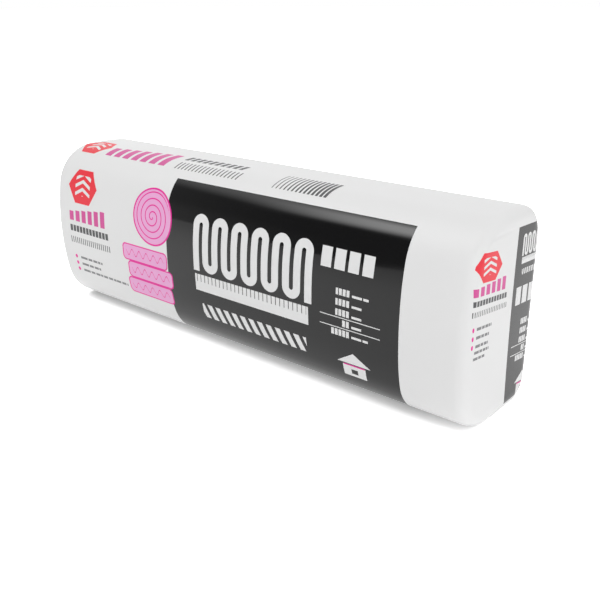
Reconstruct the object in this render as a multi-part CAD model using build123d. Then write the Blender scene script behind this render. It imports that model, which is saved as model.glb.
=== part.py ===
from build123d import *
from math import sqrt
import os

os.makedirs("parts", exist_ok=True)

# A film wrapped package of kraft faced glass wool batts, in millimetres.
# +X runs along the batts, -Y is the crowned front of the package and +Z is up.
# The origin is the centre of the underside, where the package rests on the floor.
# The batts stand on their long edges, pressed together from front to back.

# Batts: the size they are cut to, how many there are, and their thickness in the package.
batt_length = 1219.0
batt_width = 406.0
batt_count = 11
pressed_batt = 25.0

# Kraft facing: the paper, and the stapling flange folded back along both long edges.
paper = 0.5
flange_width = 25.0

# Film bag, and how far the pressed wool bulges it past the cut size of the batts.
film = 1.0
end_bulge = 10.5
edge_bulge = 6.0
clearance = 0.3

# How far each side of the bag bows out between its corners. The underside is flat.
front_crown = 33.0
top_crown = 9.2
back_crown = 3.5

# Corners of the bag, seen from its end, and the rounding around both ends.
front_top_radius = 113.0
front_bottom_radius = 103.0
back_top_radius = 66.0
back_bottom_radius = 42.0
end_round = 23.0

# Heat seal that closes the left end: a double strip of film, folded flat on the end.
seal_length = 330.0
seal_width = 32.0

bag_length = batt_length + 2 * end_bulge
bag_height = batt_width + 2 * edge_bulge
# The paper keeps clear of the bag where the rounded ends come in over the ends of the stack.
inner_round = end_round - film - clearance
end_narrowing = inner_round - sqrt(inner_round**2 - (end_round - end_bulge) ** 2)
bag_depth = batt_count * pressed_batt + 2 * (film + clearance) + end_narrowing
seal_thickness = 2 * film
wool_thickness = pressed_batt - 2 * clearance - 2 * paper

across = Plane(origin=(0, 0, 0), x_dir=(0, 1, 0), z_dir=(1, 0, 0))


def corner_at(sketch, y, z):
    """The corner of an outline that lies nearest to a point."""
    return sketch.vertices().sort_by_distance(Vertex(y, z, 0))[0]


def bag_outline(inset):
    """The bag cut across: three crowned sides and a flat underside, drawn in y and z."""
    front = front_crown - bag_depth / 2
    back = bag_depth / 2 - back_crown
    top = bag_height - top_crown
    with BuildSketch() as outline:
        with BuildLine():
            ThreePointArc((front, 0), (-bag_depth / 2, top / 2), (front, top))
            ThreePointArc((front, top), ((front + back) / 2, bag_height), (back, top))
            ThreePointArc((back, top), (bag_depth / 2, top / 2), (back, 0))
            Line((back, 0), (front, 0))
        make_face()
        fillet(corner_at(outline, front, 0), front_bottom_radius)
        fillet(corner_at(outline, front, top), front_top_radius)
        fillet(corner_at(outline, back, top), back_top_radius)
        fillet(corner_at(outline, back, 0), back_bottom_radius)
        if inset:
            offset(amount=-inset, mode=Mode.REPLACE)
    return outline.sketch


def bag_block(inset):
    """The bag's outline along its whole length, with its surface moved inwards by the inset."""
    return extrude(across * bag_outline(inset), amount=bag_length / 2 - inset, both=True)


def end_rims(block):
    """The edges around both ends."""
    return block.faces().filter_by(Axis.X).edges()


def bag_body(inset=0.0):
    """The filled bag as a solid, with both ends rounded over."""
    block = bag_block(inset)
    return fillet(end_rims(block), end_round - inset)


def wool_body():
    """The space for the wool: it fills the bag, and its cut ends are pressed to a slope at their edges."""
    inset = film + clearance
    block = bag_block(inset)
    return chamfer(end_rims(block), end_round - inset)


def make_seal():
    """The closing seal on the left end face, upright on the middle of the end."""
    strip = Box(seal_thickness, seal_width, seal_length, align=(Align.MAX, Align.CENTER, Align.CENTER))
    return Pos(-bag_length / 2, 0, bag_height / 2) * strip


def make_bag():
    return bag_body() - bag_body(film) + make_seal()


def layer_arc(y):
    """The line that a layer of the stack follows from its lower to its upper edge."""
    share = y / bag_depth + 0.5
    crown = front_crown * (1 - share) - back_crown * share
    return ThreePointArc((y + crown, 0), (y, bag_height / 2), (y + crown, bag_height))


def layer_region(y, thickness):
    """The space between two layer lines, drawn in y and z."""
    front, back = layer_arc(y), layer_arc(y + thickness)
    sides = [Line(front @ end, back @ end) for end in (0, 1)]
    return make_face([front, back] + sides)


def band(low, high):
    """Everything between two heights, drawn in y and z."""
    return Pos(0, (low + high) / 2) * Rectangle(2 * bag_depth, high - low)


def make_batt(front, back, inside):
    """One blanket of wool, pressed to its layer and filling the bag to its edges."""
    slab = extrude(across * layer_region(front, back - front), amount=bag_length / 2, both=True)
    return slab & inside


def make_facing(y, room):
    """One sheet of kraft paper, as wide as its layer allows, with its flanges folded back on it."""
    line = (layer_arc(y) & room).bounding_box()
    low = max(line.min.Y, (bag_height - batt_width) / 2)
    high = min(line.max.Y, (bag_height + batt_width) / 2)
    sheet = layer_region(y, paper) & band(low, high)
    flanges = band(low, low + flange_width) + band(high - flange_width, high)
    folds = layer_region(y + paper, paper) & flanges
    return extrude(across * ((sheet + folds) & room), amount=batt_length / 2, both=True)


# The wool of the first batt takes its front from the bag, and each facing is behind its wool.
inside = wool_body()
room = bag_outline(film + clearance + end_narrowing)
batts, facings = [], []
for layer in range(batt_count):
    start = film + clearance - bag_depth / 2 + layer * pressed_batt
    wool_back = start + wool_thickness
    batts.append(make_batt(start if layer else -bag_depth / 2, wool_back, inside))
    facings.append(make_facing(wool_back + clearance, room))

# The seal adds to one end only, so the package is moved to keep the origin at its middle.
centred = Pos(seal_thickness / 2, 0, 0)
parts = {
    "film_bag": make_bag(),
    "glass_wool_batts": Compound(children=batts),
    "kraft_facings": Compound(children=facings),
}
for name, shape in parts.items():
    export_step(centred * shape, f"parts/{name}.step")
    print(name, round(shape.volume / 1e6, 3), "litres")
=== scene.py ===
# %% [markdown]
# # A film wrapped package of insulation batts
#
# Eleven kraft faced glass wool batts are pressed together and held by one white printed film bag.
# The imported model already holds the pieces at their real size: the bag, the wool and the paper.
# Here the bag gets the soft full shape and the print that people see, and the wool and the
# paper inside get their own finishes.

from math import cos, pi, radians, sin

import bpy
import numpy as np
from mathutils import Matrix, Vector


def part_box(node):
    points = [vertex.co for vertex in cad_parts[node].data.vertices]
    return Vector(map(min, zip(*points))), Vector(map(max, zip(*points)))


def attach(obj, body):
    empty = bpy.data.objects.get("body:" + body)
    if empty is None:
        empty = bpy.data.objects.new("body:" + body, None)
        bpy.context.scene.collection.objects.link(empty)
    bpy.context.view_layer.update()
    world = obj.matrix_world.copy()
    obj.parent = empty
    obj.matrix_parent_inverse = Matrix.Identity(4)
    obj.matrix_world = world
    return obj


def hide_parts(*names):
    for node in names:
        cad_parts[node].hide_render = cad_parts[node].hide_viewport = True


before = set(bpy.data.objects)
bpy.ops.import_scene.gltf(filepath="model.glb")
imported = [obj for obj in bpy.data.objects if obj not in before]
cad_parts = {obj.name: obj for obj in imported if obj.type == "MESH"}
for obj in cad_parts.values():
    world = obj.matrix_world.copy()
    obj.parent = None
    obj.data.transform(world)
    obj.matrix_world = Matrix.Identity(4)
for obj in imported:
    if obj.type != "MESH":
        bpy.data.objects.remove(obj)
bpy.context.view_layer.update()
low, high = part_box("film_bag")

# The seal is on the left end only, so the middle of the bag is a little to the right.
seal_thickness = 0.002
middle_x = seal_thickness / 2
half_length = (high.x - low.x - seal_thickness) / 2
half_depth = (high.y - low.y) / 2
half_height = (high.z - low.z) / 2
print("bag", [round(2 * half * 1000) for half in (half_length, half_depth, half_height)], "mm")

# %% [markdown]
# ## The camera
#
# The camera stands in front and to the right of the package, a little above it. Its place and its
# lens come from fitting the outline of the package, so the render has the same perspective.
# The small shift is the framing of the picture.

# %% Camera
camera_place = Vector((1.1881, -1.2656, 0.7729))
turn_left, tilt_down, lean = radians(39.95), radians(21.09), radians(0.26)

level = cos(tilt_down)
forward = Vector((-sin(turn_left) * level, cos(turn_left) * level, -sin(tilt_down)))
level_right = Vector((cos(turn_left), sin(turn_left), 0))
level_down = forward.cross(level_right)
right = cos(lean) * level_right + sin(lean) * level_down
up = sin(lean) * level_right - cos(lean) * level_down

lens = bpy.data.cameras.new("camera")
lens.lens = 46.2
lens.shift_x, lens.shift_y = -0.0037, -0.0033
lens.clip_end = 300
camera = bpy.data.objects.new("camera", lens)
facing = Matrix((right, up, -forward)).transposed().to_4x4()
camera.matrix_world = Matrix.Translation(camera_place) @ facing
bpy.context.scene.collection.objects.link(camera)
bpy.context.scene.camera = camera
bpy.context.scene.view_settings.view_transform = "Standard"
print("camera", [round(c, 3) for c in camera_place], "looks along", [round(c, 3) for c in forward])

# %% [markdown]
# ## Writing materials as sums
#
# A material is a graph of nodes, and a print is a lot of arithmetic: is this point inside that
# shape? Written as Python expressions it stays readable. A wire is the output of a node, and an
# operator on wires adds the Math node that does it. Every other node comes from one method, and
# short functions name what is needed often: a colour mixed over another, a soft ramp, noise,
# a rough surface, and which kind of light ray is asking.

# %% Wires and nodes
MATH = {
    "__add__": "ADD", "__sub__": "SUBTRACT", "__mul__": "MULTIPLY", "__truediv__": "DIVIDE",
    "__lt__": "LESS_THAN", "__gt__": "GREATER_THAN",
}


class Wire:
    """The output of a node. Operators on wires and numbers add Math nodes: a mask is 1 or 0."""

    def __init__(self, socket):
        self.socket = socket

    def node(self, kind, settings, inputs, output=0):
        """Add a node to the same tree, with its settings and the values or wires it takes."""
        tree = self.socket.id_data
        node = tree.nodes.new(kind)
        for name, value in settings.items():
            setattr(node, name, value)
        for name, value in inputs.items():
            if isinstance(value, Wire):
                tree.links.new(value.socket, node.inputs[name])
            else:
                node.inputs[name].default_value = value
        return Wire(node.outputs[output])

    def math(self, operation, *others):
        """Add a Math node that works on this wire and on others."""
        inputs = dict(enumerate((self, *others)))
        return self.node("ShaderNodeMath", {"operation": operation}, inputs)

    def __radd__(self, other):
        return self + other

    def __rmul__(self, other):
        return self * other

    def __rsub__(self, other):
        return self.math("MULTIPLY_ADD", -1.0, other)

    def __rtruediv__(self, other):
        return self.math("POWER", -1.0) * other

    def __abs__(self):
        return self.math("ABSOLUTE")


for name, operation in MATH.items():
    setattr(Wire, name, lambda self, other, operation=operation: self.math(operation, other))


def new_material(name):
    """A new material, its tree of nodes and its shader."""
    material = bpy.data.materials.new(name)
    material.use_nodes = True
    tree = material.node_tree
    return material, tree, tree.nodes["Principled BSDF"]


def start(tree, kind, output, **settings):
    """The first wire of an expression, from a node that reads the surface."""
    node = tree.nodes.new(kind)
    for name, value in settings.items():
        setattr(node, name, value)
    return Wire(node.outputs[output])


def rays(tree, *kinds):
    """One wire for each kind of light ray: 1 for a ray of that kind, and 0 for any other."""
    path = tree.nodes.new("ShaderNodeLightPath")
    return [Wire(path.outputs[f"Is {kind} Ray"]) for kind in kinds]


def feed(shader, name, wire):
    """Lead a wire into one socket of a shader."""
    wire.socket.id_data.links.new(wire.socket, shader.inputs[name])


def split(vector):
    """The three parts of a vector, as three wires."""
    x = vector.node("ShaderNodeSeparateXYZ", {}, {0: vector})
    return tuple(Wire(output) for output in x.socket.node.outputs)


def length(a, b):
    """The length of a flat vector with two parts."""
    return (a * a + b * b).math("SQRT")


def either(*masks):
    """A mask that holds where any of the masks does."""
    joined = masks[0]
    for mask in masks[1:]:
        joined = joined.math("MAXIMUM", mask)
    return joined


def paint(value):
    """A colour given in the usual 0 to 255 steps, as the linear values that a shader takes."""
    steps = [step / 255 for step in value]
    return tuple(s / 12.92 if s < 0.04045 else ((s + 0.055) / 1.055) ** 2.4 for s in steps) + (1.0,)


def mix(share, below, above):
    """A colour that goes from below to above as the share goes from 0 to 1."""
    inputs = {0: share, 6: below, 7: above}
    return share.node("ShaderNodeMix", {"data_type": "RGBA"}, inputs, output=2)


def ramp(value, off, full):
    """A mask that goes softly from 0 to 1 while a value goes from off to full."""
    inputs = {"Value": value, "From Min": off, "From Max": full}
    return value.node("ShaderNodeMapRange", {"interpolation_type": "SMOOTHSTEP"}, inputs)


def noise(place, stretch, scale, detail):
    """Noise from 0 to 1, finer along the axes that are stretched more."""
    settings = {"operation": "MULTIPLY"}
    place = place.node("ShaderNodeVectorMath", settings, {0: place, 1: stretch})
    inputs = {"Vector": place, "Scale": scale, "Detail": detail}
    return place.node("ShaderNodeTexNoise", {}, {**inputs, "Roughness": 0.6, "Distortion": 0.4})


def roughen(shader, height, distance, strength):
    """Raise the surface by a height from 0 to 1, over a distance in metres."""
    inputs = {"Height": height, "Distance": distance, "Strength": strength}
    feed(shader, "Normal", height.node("ShaderNodeBump", {}, inputs))


print("math on wires:", ", ".join(sorted(MATH.values())))

# %% [markdown]
# ## Floor and light
#
# The package stands on a wide white floor in a dim round room. The room is drawn, not
# photographed: soft wide lights on all sides, a pale wall on the left, a wide soft light high over
# the left of the package and a long bright strip beside it. The glossy ink mirrors all this: the
# panel shows the white floor below and the dim room above, and its rounded upper edge catches the
# strip.
#
# The camera sees plain white floor and sky. The ink sees the same white floor, which fades away
# into the room after a few steps. The shadow is as deep beside the white film as beside the dark
# ink, so the film's material throws little light on the floor, and the floor beside the package
# gives the film back the light that this takes from it.

# %% Floor
floor_width = 160
floor_white, floor_glow, floor_glow_in_ink, floor_return = 0.98, 0.18, 0.48, 0.40
fade_middle, fade_step, return_width = -0.2, 2.0, 0.16

bpy.ops.mesh.primitive_plane_add(size=floor_width)
floor = bpy.context.object
floor.name = "floor"
floor_paint, tree, shader = new_material("floor_white")
shader.inputs["Roughness"].default_value = 1.0
shader.inputs["Specular IOR Level"].default_value = 0.0
shader.inputs["Emission Strength"].default_value = 1.0

camera_ray, ink_ray, through_ray, soft_ray = rays(
    tree, "Camera", "Glossy", "Transmission", "Diffuse")
floor_x, floor_y, _ = split(start(tree, "ShaderNodeTexCoord", "Object"))
steps_away = length(floor_x - fade_middle, floor_y) / fade_step
near = 1 / (steps_away * steps_away + 1)
outside = (abs(floor_x) - half_length).math("MAXIMUM", abs(floor_y) - half_depth)
beside = 1 - (outside / return_width).math("MAXIMUM", 0.0).math("MINIMUM", 1.0)
seen = either(camera_ray, through_ray)
feed(shader, "Base Color", floor_white * (seen + 1))
glow = floor_glow * seen + floor_glow_in_ink * ink_ray * near + floor_return * soft_ray * beside
feed(shader, "Emission Color", glow)
floor.data.materials.append(floor_paint)
print("floor", round(floor.dimensions.x), "m wide")

# %% Sky
world = bpy.data.worlds.new("studio")
bpy.context.scene.world = world
world.use_nodes = True
tree = world.node_tree
direction = start(tree, "ShaderNodeTexCoord", "Generated")
toward_x, toward_y, toward_z = split(direction)


def soft_light(toward, full, faded):
    """A round light in the sky, full within one angle of its middle and gone beyond another."""
    inputs = {0: direction, 1: Vector(toward).normalized()}
    settings = {"operation": "DOT_PRODUCT"}
    nearness = direction.node("ShaderNodeVectorMath", settings, inputs, output=1)
    return ramp(nearness, cos(radians(faded)), cos(radians(full)))


# Each round light has its direction, its strength and its two angles in degrees.
round_lights = (
    ((0.95, -0.15, 0.30), 0.66, 15, 45),
    ((0.60, 0.75, 0.25), 0.73, 15, 50),
    ((0.55, -0.75, 0.35), 1.03, 20, 60),
    ((-0.60, 0.75, 0.30), 0.95, 15, 50),
    ((0.15, 0.35, 0.93), 0.23, 15, 50),
    ((-0.400, -0.188, 0.897), 1.48, 15, 30),
)
dim_room, pale_wall, wall_foot, bright_strip = 0.142, 0.38, 0.19, 4.3
strip_middle = -0.355

room = dim_room
for toward, strength, full, faded in round_lights:
    room = room + strength * soft_light(toward, full, faded)
room = room + pale_wall * ramp(toward_x, -0.60, -0.95)
room = room + wall_foot * ramp(toward_z, 0.35, 0.0) * ramp(toward_x, -0.50, -0.80)
across_strip = ramp(abs(toward_y - strip_middle), 0.21, 0.04)
strip_light = bright_strip * across_strip * ramp(toward_x, -0.69, -0.50)
room = room + strip_light * ramp(toward_x, -0.25, -0.35)

plain = either(*rays(tree, "Camera", "Transmission"))
background = tree.nodes["Background"]
background.inputs["Color"].default_value = (1, 1, 1, 1)
feed(background, "Strength", room * (1 - plain) + plain)
print("sky made of", len(tree.nodes), "nodes")

# %% [markdown]
# ## The film bag
#
# The batts push the film out from inside, so the bag is a block whose sides have all gone round:
# a strongly crowned front, a flatter top and back, and an underside pressed flat by the weight.
# A block is cut into a fine grid, and each point then slides to the full shape. The grid lines
# run along and around the bag, so the smooth shading has no seams.

# %% A block cut into a grid
def select_only(piece):
    """Make a piece the only selected and active object."""
    bpy.ops.object.select_all(action="DESELECT")
    piece.select_set(True)
    bpy.context.view_layer.objects.active = piece


def divide(piece, axis, cuts):
    """Cut every edge of a piece that runs along one axis."""
    select_only(piece)
    bpy.ops.object.mode_set(mode="EDIT")
    bpy.ops.mesh.select_mode(type="EDGE")
    bpy.ops.mesh.select_all(action="DESELECT")
    bpy.ops.object.mode_set(mode="OBJECT")
    points = piece.data.vertices
    for edge in piece.data.edges:
        run = points[edge.vertices[1]].co - points[edge.vertices[0]].co
        edge.select = abs(run[axis]) > 0.99 * run.length
    bpy.ops.object.mode_set(mode="EDIT")
    bpy.ops.mesh.subdivide(number_cuts=cuts)
    bpy.ops.object.mode_set(mode="OBJECT")


def grid_block(name, divisions):
    """A block from -1 to 1 on each axis, divided along its axes one after the other."""
    bpy.ops.mesh.primitive_cube_add(size=2)
    piece = bpy.context.object
    piece.name = name
    for axis, cuts in divisions:
        divide(piece, axis, cuts)
    return piece


def points_of(piece):
    """The places of a piece's points, one in each row."""
    return np.array([vertex.co for vertex in piece.data.vertices])


def move_points(piece, places):
    """Put the points of a piece in new places."""
    piece.data.vertices.foreach_set("co", places.ravel())
    piece.data.update()


# The length is divided twice: into 13, and then each of those into 12.
bag = grid_block("film_bag_printed", ((0, 12), (0, 11), (1, 35), (2, 51)))
block = points_of(bag)
print("grid of", len(bag.data.polygons), "faces")

# %% [markdown]
# Seen from its end the bag is a superellipse: a circle whose power is higher than two, so that its
# sides are flat and its corners are round. Each of the four corners has its own power, low where
# the film is round and high where it is tight. The two ends are rounded over by one radius, and
# the bag narrows a little toward them, where the film is gathered.

# %% The full shape
corner_power = {"front_top": 2.68, "front_bottom": 2.99, "back_top": 5.2, "back_bottom": 8.3}
end_round = 0.023

# How much of its depth and height the bag loses at the ends, how far the middle of an end swells
# past its rim, and how far the weight presses the underside.
narrowing_depth, narrowing_height = 0.0177, 0.0057
end_swell, press = 0.0008, 0.0009
even_share = 0.25

# How far the film stays off the contents as a whole, and further off the paper.
film_room = 0.0010
paper_room_front, paper_room_back = 0.0030, 0.0046
contents_angle = np.linspace(-pi, pi, 361)
least_facing = 0.2


def support(node, half_span):
    """How far a node reaches in each direction across the bag, within a span of its length."""
    x, y, z = points_of(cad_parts[node]).T
    near = np.abs(x - middle_x) < half_span
    sideways = np.outer(np.cos(contents_angle), y[near])
    upward = np.outer(np.sin(contents_angle), z[near] - half_height)
    return (sideways + upward).max(axis=1)


# The film can't go inside the wool, or inside the paper, which reaches in under the rounded ends.
toward_back = 0.5 + 0.5 * np.cos(contents_angle)
paper_room = paper_room_front + (paper_room_back - paper_room_front) * toward_back
wool_reach = support("glass_wool_batts", half_length - end_round + 0.001)
held_out = np.maximum(wool_reach, support("kraft_facings", half_length) + paper_room)
faces = np.cos(contents_angle[:, None] - contents_angle)
limits = held_out / np.maximum(faces, least_facing)
contents_reach = np.where(faces > least_facing, limits, np.inf).min(axis=1)


def soft_step(value):
    """From 0 to 1, with soft ends, while a value goes from 0 to 1."""
    value = np.clip(value, 0, 1)
    return value * value * (3 - 2 * value)


def power_at(y, z):
    """The power of the corner that a point belongs to."""
    front = np.where(z > 0, corner_power["front_top"], corner_power["front_bottom"])
    back = np.where(z > 0, corner_power["back_top"], corner_power["back_bottom"])
    return np.where(y < 0, front, back)


def section_point(y, z, slim=0.0):
    """The place on the full section, in metres from its middle, for a direction y, z."""
    power = power_at(y, z)
    size = (np.abs(y) ** power + np.abs(z) ** power) ** (1 / power)
    side_y = half_depth * (1 - narrowing_depth * slim) * y / size
    side_z = half_height * (1 - narrowing_height * slim) * z / size
    reach = np.hypot(side_y, side_z)
    angle = np.arctan2(side_z, side_y)
    inside = np.interp(angle, contents_angle, contents_reach) + film_room
    rest = (inside + reach + np.hypot(reach - inside, film_room)) / 2
    return side_y * rest / reach, side_z * rest / reach


def section_normal(y, z, slim):
    """The outward direction on the full section, from two points close to a direction y, z."""
    step = 0.003
    before_y, before_z = section_point(y + step * z, z - step * y, slim)
    after_y, after_z = section_point(y - step * z, z + step * y, slim)
    size = np.hypot(after_y - before_y, after_z - before_z)
    return (after_z - before_z) / size, (before_y - after_y) / size


def filled(block):
    """Where each point of a block from -1 to 1 lies once the bag is full."""
    x, y, z = block.T
    reach = np.maximum(np.abs(y), np.abs(z))
    safe = np.maximum(reach, 1e-6)
    slim = x**2
    side_y, side_z = section_point(y / safe, z / safe, slim)
    out_y, out_z = section_normal(y / safe, z / safe, slim)

    # The lower back corner is tighter than the end's rounding, so the film would fold over there.
    # Part of the way toward an even shrink is enough to keep it open.
    even = even_share * soft_step(3 * np.minimum(y, -z) / safe)
    out_y = out_y + even * (side_y / half_depth - out_y)
    out_z = out_z + even * (side_z / half_height - out_z)

    over_end = np.maximum(np.abs(x) * half_length - (half_length - end_round), 0)
    over_side = np.maximum(reach * half_depth - (half_depth - end_round), 0)
    size = np.maximum(np.hypot(over_end, over_side), 1e-9)
    inset = end_round * (1 - over_side / size)
    share = np.minimum(reach / (1 - end_round / half_depth), 1)
    straight = np.minimum(np.abs(x) * half_length, half_length - end_round)
    far = straight + end_round * over_end / size
    far = far - end_swell * share**2 * (over_end > 0)
    place_y = (side_y - out_y * inset) * share
    place_z = (side_z - out_z * inset) * share
    height = np.maximum(place_z + half_height + press * np.minimum(z, 0), 0)
    return np.column_stack([np.sign(x) * far + middle_x, place_y, height])


move_points(bag, filled(block))
print("full bag", [round(side * 1000) for side in bag.dimensions], "mm")

# %% [markdown]
# ## Where the print goes
#
# The printer lays out the artwork on flat film, in metres: along the bag, and around it from the
# middle of the front. A UV map keeps that layout, so each shape of the print has its true size.
# The back carries the same layout as the front, and the right end has a sheet of its own.

# %% The print layout as a UV map
END_SHEET = 2.0
AT_END = 0.999
front_sheet_from, front_sheet_to = -pi / 2, radians(135)

turn = np.arctan2(block[:, 2], -block[:, 1])
sample = np.linspace(-pi, pi, 4001)
around_y, around_z = section_point(-np.cos(sample), np.sin(sample))
girth = np.concatenate([[0], np.cumsum(np.hypot(np.diff(around_y), np.diff(around_z)))])
girth = girth - np.interp(0, sample, girth)
over_top, over_bottom = girth[-1], -girth[0]
print("girth", round((over_top + over_bottom) * 1000), "mm")

places = points_of(bag)
sheets = bag.data.uv_layers.new(name="print")
for face in bag.data.polygons:
    corners = block[list(face.vertices)]
    x, y, z = corners.mean(0)
    middle_turn = np.arctan2(z, -y)
    is_end = (np.abs(corners[:, 0]) > AT_END).all()
    for loop, vertex in zip(face.loop_indices, face.vertices):
        place, angle = places[vertex], turn[vertex]
        if angle - middle_turn > pi:
            angle -= 2 * pi
        if middle_turn - angle > pi:
            angle += 2 * pi
        around = np.interp(angle, sample, girth)
        if is_end:
            u, v = x * END_SHEET + place[1], place[2]
        elif front_sheet_from < middle_turn < front_sheet_to:
            u, v = place[0], around
        elif middle_turn > 0:
            u, v = -place[0], over_top - around
        else:
            u, v = -place[0], -over_bottom - around
        sheets.data[loop].uv = (u, v)
select_only(bag)
bpy.ops.object.shade_smooth()

# %% [markdown]
# ## The closed end
#
# The left end is where the bag was filled. The film of the top and of the underside is tucked in
# first, and the film of the front and of the back is brought over it, with a crease that runs in
# from each corner. The two meet in a welded double strip, upright on the middle of the end. One
# long edge of the strip is free and stands off in a few waves.

# %% The folded film and the welded strip
seal_length, seal_width = 0.330, 0.032
fold_start = half_height - half_depth
outer_layer, crease_width, rim_share = 0.0010, 0.012, 0.2

# The strip's half thickness, bow and bevel, how far its middle is off the film, and how far its
# free edge stands off further.
weld_half, weld_bow, weld_bevel = 0.0007, 0.0012, 0.0004
weld_off, weld_lift = 0.0005, 0.0045

on_left_end = block[:, 0] < -AT_END
over_fold = np.abs(places[:, 1]) + fold_start - np.abs(places[:, 2] - half_height)
from_rim = 1 - np.abs(block[:, 1:]).max(axis=1)
layer = outer_layer * on_left_end * soft_step(over_fold / crease_width + 0.5)
places[:, 0] -= layer * soft_step(from_rim / rim_share)
move_points(bag, places)

weld = grid_block("welded_strip", ((1, 7), (2, 79)))
through, across, along = points_of(weld).T
weld_y = across * seal_width / 2 + weld_bow * np.sin(3.4 * along)
weld_z = along * seal_length / 2
from_middle = np.maximum(np.abs(weld_y) / half_depth, np.abs(weld_z) / half_height)
film_x = low.x + seal_thickness - outer_layer + end_swell * from_middle**2
waves = 0.5 + 0.35 * np.sin(6.1 * along + 0.7) + 0.15 * np.sin(17.3 * along)
lift = weld_lift * waves * soft_step((across + 1) / 2) ** 2
weld_x = film_x - weld_off + weld_half * through - lift
move_points(weld, np.column_stack([weld_x, weld_y, weld_z + half_height]))

sheets = weld.data.uv_layers.new(name="print")
for loop in weld.data.loops:
    place = weld.data.vertices[loop.vertex_index].co
    sheets.data[loop.index].uv = (place.y - END_SHEET, place.z)
select_only(weld)
bpy.ops.object.modifier_add(type="BEVEL")
weld.modifiers["Bevel"].width = weld_bevel
bpy.ops.object.modifier_apply(modifier="Bevel")
bpy.ops.object.shade_smooth()
bag.select_set(True)
bpy.context.view_layer.objects.active = bag
bpy.ops.object.join()
print("bag and strip", len(bag.data.polygons), "faces")

# %% [markdown]
# ## The printed film
#
# One material holds the film and its print. Each shape is a mask, worked out from the two
# coordinates of the layout, and its ink is mixed over what lies below it. A shape is given by its
# left, right, bottom and top in metres, and a row of shapes by its pitch as well.

# %% Shapes for the print
def box(u, v, left, right, bottom, top):
    """A mask for an upright rectangle."""
    across = abs(u - (left + right) / 2) < (right - left) / 2
    return across * (abs(v - (bottom + top) / 2) < (top - bottom) / 2)


def dashes(u, left, pitch, share):
    """A mask that is on for a share of each step along u."""
    return ((u - left) / pitch).math("FRACT") < share


def comb(u, v, left, right, bottom, top, pitch, share):
    """A mask for a row of upright strokes."""
    return dashes(u, left, pitch, share) * box(u, v, left, right, bottom, top)


def broken_line(u, v, left, right, bottom, top, pitch):
    """A mask for a line that is broken into blocks of uneven length, by two waves together."""
    second_wave, gap_below = 1.7, -1.05
    wave = ((u - left) * (2 * pi / pitch)).math("SINE")
    wave = wave + ((u - left) * (2 * pi / pitch / second_wave)).math("SINE")
    return box(u, v, left, right, bottom, top) * (wave > gap_below)


def disc(u, v, radius):
    """A mask for a round spot."""
    return length(u, v) < radius


def hexagon(u, v, radius):
    """A mask for a six sided badge with a point on its left and one on its right."""
    slanted = abs(v) * 0.5 + abs(u) * 0.866
    return slanted.math("MAXIMUM", abs(v)) < radius


def roofs(u, v, half_width, bottom, top, pitch):
    """A mask for pointed roofs stacked over each other."""
    slope, share = 0.55, 0.45
    stacked = ((v + abs(u) * slope - bottom) / pitch).math("FRACT") < share
    return stacked * box(u, v, -half_width, half_width, bottom - half_width * 0.5, top)


def badge(u, v):
    """A mask for a hexagon about 0.1 m wide, with roofs left out of it."""
    left_out = roofs(u, v, half_width=0.026, bottom=-0.0105, top=0.029, pitch=0.020)
    return hexagon(u, v, radius=0.044) * (1 - left_out)


def rising_bars(u, v, left, bottom, top, pitch, count):
    """A mask for upright bars, each taller than the one before."""
    share, shortest, growth = 0.68, 0.6, 0.4
    step = ((u - left) / pitch).math("FLOOR")
    bars = dashes(u, left, pitch, share) * box(u, v, left, left + count * pitch, bottom, top)
    rise = (top - bottom) * growth / (count - 1)
    return bars * (v < bottom + (top - bottom) * shortest + step * rise)


def wool_hatch(u, v, left, right, bottom, top, stroke):
    """The loops that stand for insulation in a drawing: one thick line that runs up and down."""
    loops = 6
    span = right - left - stroke
    step = span / (2 * loops - 1)
    bend = step / 2
    x = u - (left + stroke / 2)
    upper, lower = top - stroke / 2 - bend, bottom + stroke / 2 + bend

    def to_bend(shifted, height):
        """How far a point is from the middle of the line, where the line turns at a height."""
        across = (shifted / (2 * step) + 0.5).math("FRACT") * (2 * step) - step
        return abs(length(across, v - height) - bend)

    to_upright = abs((x / step + 0.5).math("FRACT") - 0.5) * step
    above = v > upper
    below = (v < lower) * (abs(x - span / 2) < span / 2 - bend)
    upright = to_upright * (1 - above) * (1 - below)
    line = upright + to_bend(x - bend, upper) * above + to_bend(x + bend, lower) * below
    return (line < stroke / 2) * box(u, v, left, right, bottom, top)


def table(u, v, bottom, pitch, count):
    """A mask for rows of blocks, each with a broken line after it, and a rule under two rows."""
    row = ((v - bottom) / pitch).math("FLOOR")
    height = v - bottom - row * pitch
    indent = 0.011 * (row > 0.5) + 0.015 * (abs(row - 1) < 0.5)
    blocks = dashes(u, 0.3205, 0.0092, 0.76) * box(u, height, 0.320, 0.3648, 0.0050, 0.0188)
    blocks = blocks * (u > 0.320 + indent)
    lines_end = 0.397 + 0.013 * (abs(row - 2) > 1.5)
    lines = broken_line(u, height, 0.3705, 0.415, 0.0062, 0.0112, 0.009) * (u < lines_end)
    rules = box(u, height, 0.292, 0.438, 0.0, 0.0018) * (abs(row - 1.5) < 0.6)
    return either(blocks, lines, rules) * box(u, v, 0.290, 0.440, bottom, bottom + count * pitch)


def house(u, v, half_width, bottom, top):
    """A mask for a roof over a wall with one window."""
    eaves = bottom + (top - bottom) * 0.55
    wall_half = half_width * 0.68
    roof = (v + abs(u) * ((top - eaves) / half_width) < top) * (v > eaves)
    wall = box(u, v, -wall_half, wall_half, bottom, eaves - 0.004)
    window = box(u, v, -0.008, 0.008, bottom + 0.007, eaves - 0.013)
    return either(roof, wall * (1 - window))


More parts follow.
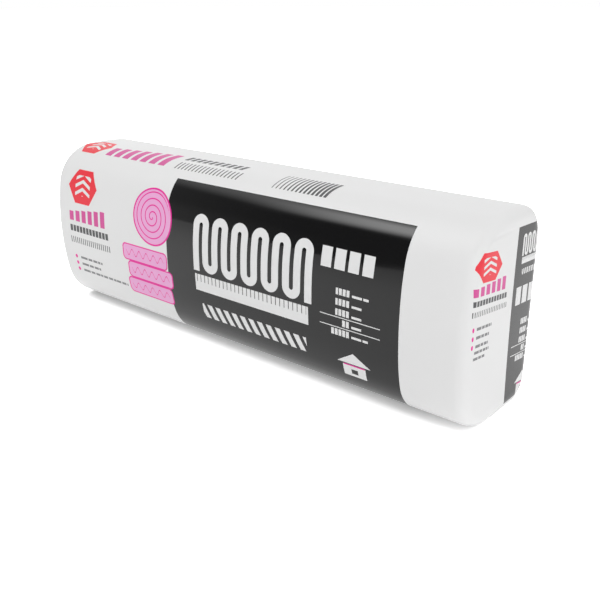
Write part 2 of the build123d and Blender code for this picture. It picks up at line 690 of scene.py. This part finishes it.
def edge_distance(u, v, half_u, half_v, radius):
    """How far a point is outside a rounded rectangle: below zero is inside."""
    over_u = (abs(u) - (half_u - radius)).math("MAXIMUM", 0.0)
    over_v = (abs(v) - (half_v - radius)).math("MAXIMUM", 0.0)
    return length(over_u, over_v) - radius


# %% The film and its print
film, tree, shader = new_material("printed_film")
place = start(tree, "ShaderNodeUVMap", 0, uv_map="print")
u, v, _ = split(place)

white = paint((226, 226, 226))
black = paint((12, 12, 13))
red = paint((232, 48, 62))
pale_pink = paint((232, 168, 212))
magenta = paint((226, 30, 150))
pink = paint((208, 78, 150))
grey = paint((78, 78, 80))
light_grey = paint((122, 122, 124))

# The end has the same artwork in smaller blocks, and it slants down toward the back, the dark
# panel less so toward its top.
on_end = u > 1.0
end_u = u - END_SHEET
end_slant = 0.13 - 0.30 * (end_u > 0) * (v - 0.12).math("MAXIMUM", 0.0)
end_v = v + end_u * end_slant


def artwork(front, end, scale):
    """Where a point lies in one block of the artwork, on the front or in its copy on the end.

    The block's left and top are given for the front and for the end, and the scale of its copy.
    """
    across = (end_u - end[0]) / scale[0] + front[0]
    upward = (end_v - end[1]) / scale[1] + front[1]
    return u + on_end * (across - u), v + on_end * (upward - v)


# The dark panels, and what is left white in them.
panel = box(u, v, -0.170, 0.480, -0.258, 0.193)
end_panel_edge = (v - 0.27) * (v - 0.27) * 0.18 + 0.030
end_panel = on_end * (end_u > end_panel_edge) * box(end_u, end_v, 0.0, 0.2, 0.020, 0.3865)
dark = either(panel, end_panel)

a, b = artwork(front=(-0.078, 0.123), end=(0.056, 0.370), scale=(0.32, 0.32))
hatch = wool_hatch(a, b, -0.078, 0.270, -0.010, 0.123, stroke=0.019)
ruler = box(a, b, -0.075, 0.261, -0.058, -0.018)
ticks = dashes(a, -0.069, 0.012, 0.16) * (b > -0.036) * box(a, b, -0.070, 0.256, -0.058, -0.018)
slants = dashes(a + b * 0.45, -0.11, 0.026, 0.58) * box(a, b, -0.060, 0.252, -0.126, -0.090)

a, b = artwork(front=(0.290, 0.117), end=(0.046, 0.2655), scale=(0.85, 0.89))
squares = dashes(a, 0.290, 0.0335, 0.76) * box(a, b, 0.290, 0.418, 0.0775, 0.1185)
rows = table(a, b, bottom=-0.0645, pitch=0.0217, count=5)
small_house = house(a - 0.372, b, half_width=0.041, bottom=-0.150, top=-0.0925)
house_stripe = box(a, b, 0.346, 0.398, -0.1235, -0.1205)
bare = either(hatch, ruler * (1 - ticks), slants, squares, rows, small_house)

# The block on the left of the front: a badge, rising bars and two rows of strokes.
a, b = artwork(front=(-0.560, 0.159), end=(-0.124, 0.358), scale=(0.775, 0.62))
badges = badge((a + 0.5015 - on_end * 0.0075) * 0.85, b - 0.119 + on_end * 0.010)
bars = rising_bars(a, b, left=-0.558, bottom=0.026, top=0.068, pitch=0.0265, count=6)
strokes = either(
    comb(a, b, -0.558, -0.394, -0.003, 0.014, pitch=0.0137, share=0.78),
    comb(a, b, -0.560, -0.388, -0.035, -0.018, pitch=0.0086, share=0.36),
)

# Three lines with bullets. The last is long on the front, and short with two more under it on
# the end.
bullet_top, bullet_pitch = -0.0745, 0.0185
a, b = artwork(front=(-0.560, bullet_top), end=(-0.124, 0.214), scale=(0.60, 0.92))
bullet_row = ((bullet_top - b) / bullet_pitch + 0.5).math("FLOOR")
bullet_v = b - bullet_top + bullet_row * bullet_pitch
bullets = disc(a + 0.550, bullet_v, 0.0052) * box(a, b, -0.560, -0.540, -0.121, -0.065)
last = abs(bullet_row - 2) < 0.5
line_end = -0.436 - 0.012 * bullet_row + (0.120 - on_end * 0.110) * last
small_lines = broken_line(a, bullet_v, -0.530, -0.330, -0.0032, 0.0032, 0.011) * (a < line_end)
small_lines = small_lines * (abs(bullet_row - 1) < 1.5)

more_top, more_pitch = -0.1115, 0.0135
more_row = ((more_top - b) / more_pitch + 0.5).math("FLOOR")
more_v = b - more_top + more_row * more_pitch
more_lines = broken_line(a + more_row * 0.004, more_v, -0.530, -0.330, -0.003, 0.003, 0.011)
more_lines = on_end * more_lines * (abs(more_row - 1.5) < 0.6) * (a < -0.420 - more_row * 0.022)
small_lines = either(small_lines, more_lines)

# The top repeats the block in one line, with a row of stripes further along that grow wider.
badges = either(badges, badge((u + 0.545) / 1.05, (v - 0.257) / 0.90))
top_bars = rising_bars(u, v, left=-0.475, bottom=0.221, top=0.292, pitch=0.0343, count=7)
bars = either(bars, top_bars)
strokes = either(
    strokes,
    comb(u, v, -0.216, -0.024, 0.264, 0.293, pitch=0.0200, share=0.62),
    comb(u, v, -0.208, -0.002, 0.220, 0.249, pitch=0.0118, share=0.32),
)
stripes_left, stripes_pitch = 0.105, 0.0107
stripe_share = 0.22 + (u - stripes_left) * 3.4
stripes = dashes(u, stripes_left, stripes_pitch, stripe_share)
stripes = stripes * box(u, v, stripes_left, 0.255, 0.217, 0.281)

# The picture: the end of a rolled blanket over a stack of three batts.
roll_size, spiral_size, spiral_pitch = 0.068, 0.062, 0.0155
roll_u, roll_v = u + 0.222, v - 0.088
roll_radius = length(roll_u, roll_v)
winding = roll_v.math("ARCTAN2", roll_u) / (2 * pi)
spiral = (roll_radius / spiral_pitch + winding).math("FRACT") < 0.20
spiral = spiral * (roll_radius < spiral_size)
roll = roll_radius < roll_size
roll_lines = either(spiral, abs(roll_radius - roll_size) < 0.0022)

stack_bottom, batt_pitch, wave_pitch, wave_height = -0.125, 0.044, 0.027, 0.008
stack_row = ((v - stack_bottom) / batt_pitch).math("FLOOR")
stack_v = v - stack_bottom - stack_row * batt_pitch - batt_pitch / 2
stack_u = u + 0.247 - (stack_row * 2.2).math("SINE") * 0.009
from_edge = edge_distance(stack_u, stack_v, half_u=0.082, half_v=0.0205, radius=0.011)
in_stack = abs(v + 0.059) < 0.066
stack = (from_edge < 0.0) * in_stack
wave_v = (stack_u * (2 * pi / wave_pitch)).math("SINE") * wave_height
wave = (abs(stack_v - wave_v) < 0.0014) * (abs(stack_u) < 0.070)
stack_lines = either(wave, abs(from_edge) < 0.0018) * in_stack

inks = (
    (bare, white),
    (either(roll, stack), pale_pink),
    (either(roll_lines, stack_lines, bullets, house_stripe), magenta),
    (badges, red),
    (bars, pink),
    (either(strokes, stripes), grey),
    (small_lines, light_grey),
)
colour = mix(dark, white, black)
for mask, ink in inks:
    colour = mix(mask, colour, ink)

# The film is dark for light that bounces off it, so that the floor keeps its shadow. The right
# end isn't, and the film near it is so a little less.
(soft_ray,) = rays(tree, "Diffuse")
held_back = 1 - 0.75 * on_end - 0.25 * ramp(u, 0.44, 0.60)
feed(shader, "Base Color", mix(soft_ray * held_back, colour, black))

# The closed end: a sharp crease along each fold, fine wrinkles that fan out beside the strip, and
# the ribs of the weld across it.
crease_height, wrinkle_height, rib_height, rib_pitch = 0.35, 0.9, 0.10, 0.006
on_left = u < -1.0
left_u, left_v = abs(u + END_SHEET), v - half_height
on_weld = (left_u < seal_width / 2) * (abs(left_v) < seal_length / 2)
crease = ramp(left_u + fold_start - abs(left_v), -0.002, 0.002)
wrinkles = noise(place, (1, 5, 1), 26.0, 2.0) * ramp(left_u, 0.085, 0.015)
ribs = ramp(abs((v / rib_pitch).math("FRACT") - 0.5), 0.1, 0.4)
folds = (crease * crease_height + wrinkles * wrinkle_height) * (1 - on_weld)
folds = folds + ribs * on_weld * rib_height

# The right end: the film is pinched at its upper front corner, and pulled tight along its top.
pinch_height, pull_depth, relief = 0.45, 0.30, 0.003
pinch = ramp(abs(u - 0.608), 0.006, 0.0) * ramp(abs(v - 0.178), 0.020, 0.0)
pulled = on_end * ramp(abs(v - 0.386), 0.007, 0.0) * ramp(abs(end_u + 0.028), 0.060, 0.035)
height = folds * on_left + pinch * pinch_height - pulled * pull_depth
roughen(shader, height, relief, 1.0)

# The black ink is glossy, and the bare film has a soft sheen with a faint grain.
film_roughness, grain_roughness, ink_gloss = 0.42, 0.06, 0.37
glossy = dark * (1 - either(bare, roll, stack))
grain = noise(place, (1, 1, 1), 900.0, 2.0)
feed(shader, "Roughness", film_roughness + grain_roughness * grain - glossy * ink_gloss)
shader.inputs["IOR"].default_value = 1.45
bag.data.materials.append(film)
print("printed film", len(tree.nodes), "nodes")

# %% [markdown]
# ## What is inside
#
# The wool is a soft pink mat of fine glass fibres, and the facing is brown kraft paper.

# %% Wool and paper
wool, tree, shader = new_material("glass_wool")
place = start(tree, "ShaderNodeTexCoord", "Object")
tufts = noise(place, (1, 2, 1), 45.0, 3.0)
fibres = noise(place, (1, 7, 2), 420.0, 4.0)
soft_pink, deep_pink = paint((240, 196, 208)), paint((222, 150, 172))
pale_fibre = paint((252, 236, 240))
colour = mix(tufts, deep_pink, soft_pink)
feed(shader, "Base Color", mix((fibres - 0.35) * 1.6, colour, pale_fibre))
shader.inputs["Roughness"].default_value = 1.0
shader.inputs["Specular IOR Level"].default_value = 0.2
roughen(shader, tufts * 0.6 + fibres * 0.4, 0.003, 0.8)

paper, tree, shader = new_material("kraft_paper")
place = start(tree, "ShaderNodeTexCoord", "Object")
clouds = noise(place, (1, 1, 1), 14.0, 4.0)
pulp = noise(place, (1, 1, 4), 260.0, 5.0)
light_brown, dark_brown = paint((196, 156, 110)), paint((166, 124, 82))
fleck = paint((112, 78, 50))
colour = mix(clouds, dark_brown, light_brown)
feed(shader, "Base Color", mix((pulp > 0.66) * 0.5, colour, fleck))
feed(shader, "Roughness", 0.62 + clouds * 0.2)
roughen(shader, pulp, 0.0004, 0.5)

for node, material in (("glass_wool_batts", wool), ("kraft_facings", paper)):
    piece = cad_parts[node]
    piece.data.materials.clear()
    piece.data.materials.append(material)

# %% Tie the film to the package and finish
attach(bag, "root")
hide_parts("film_bag")
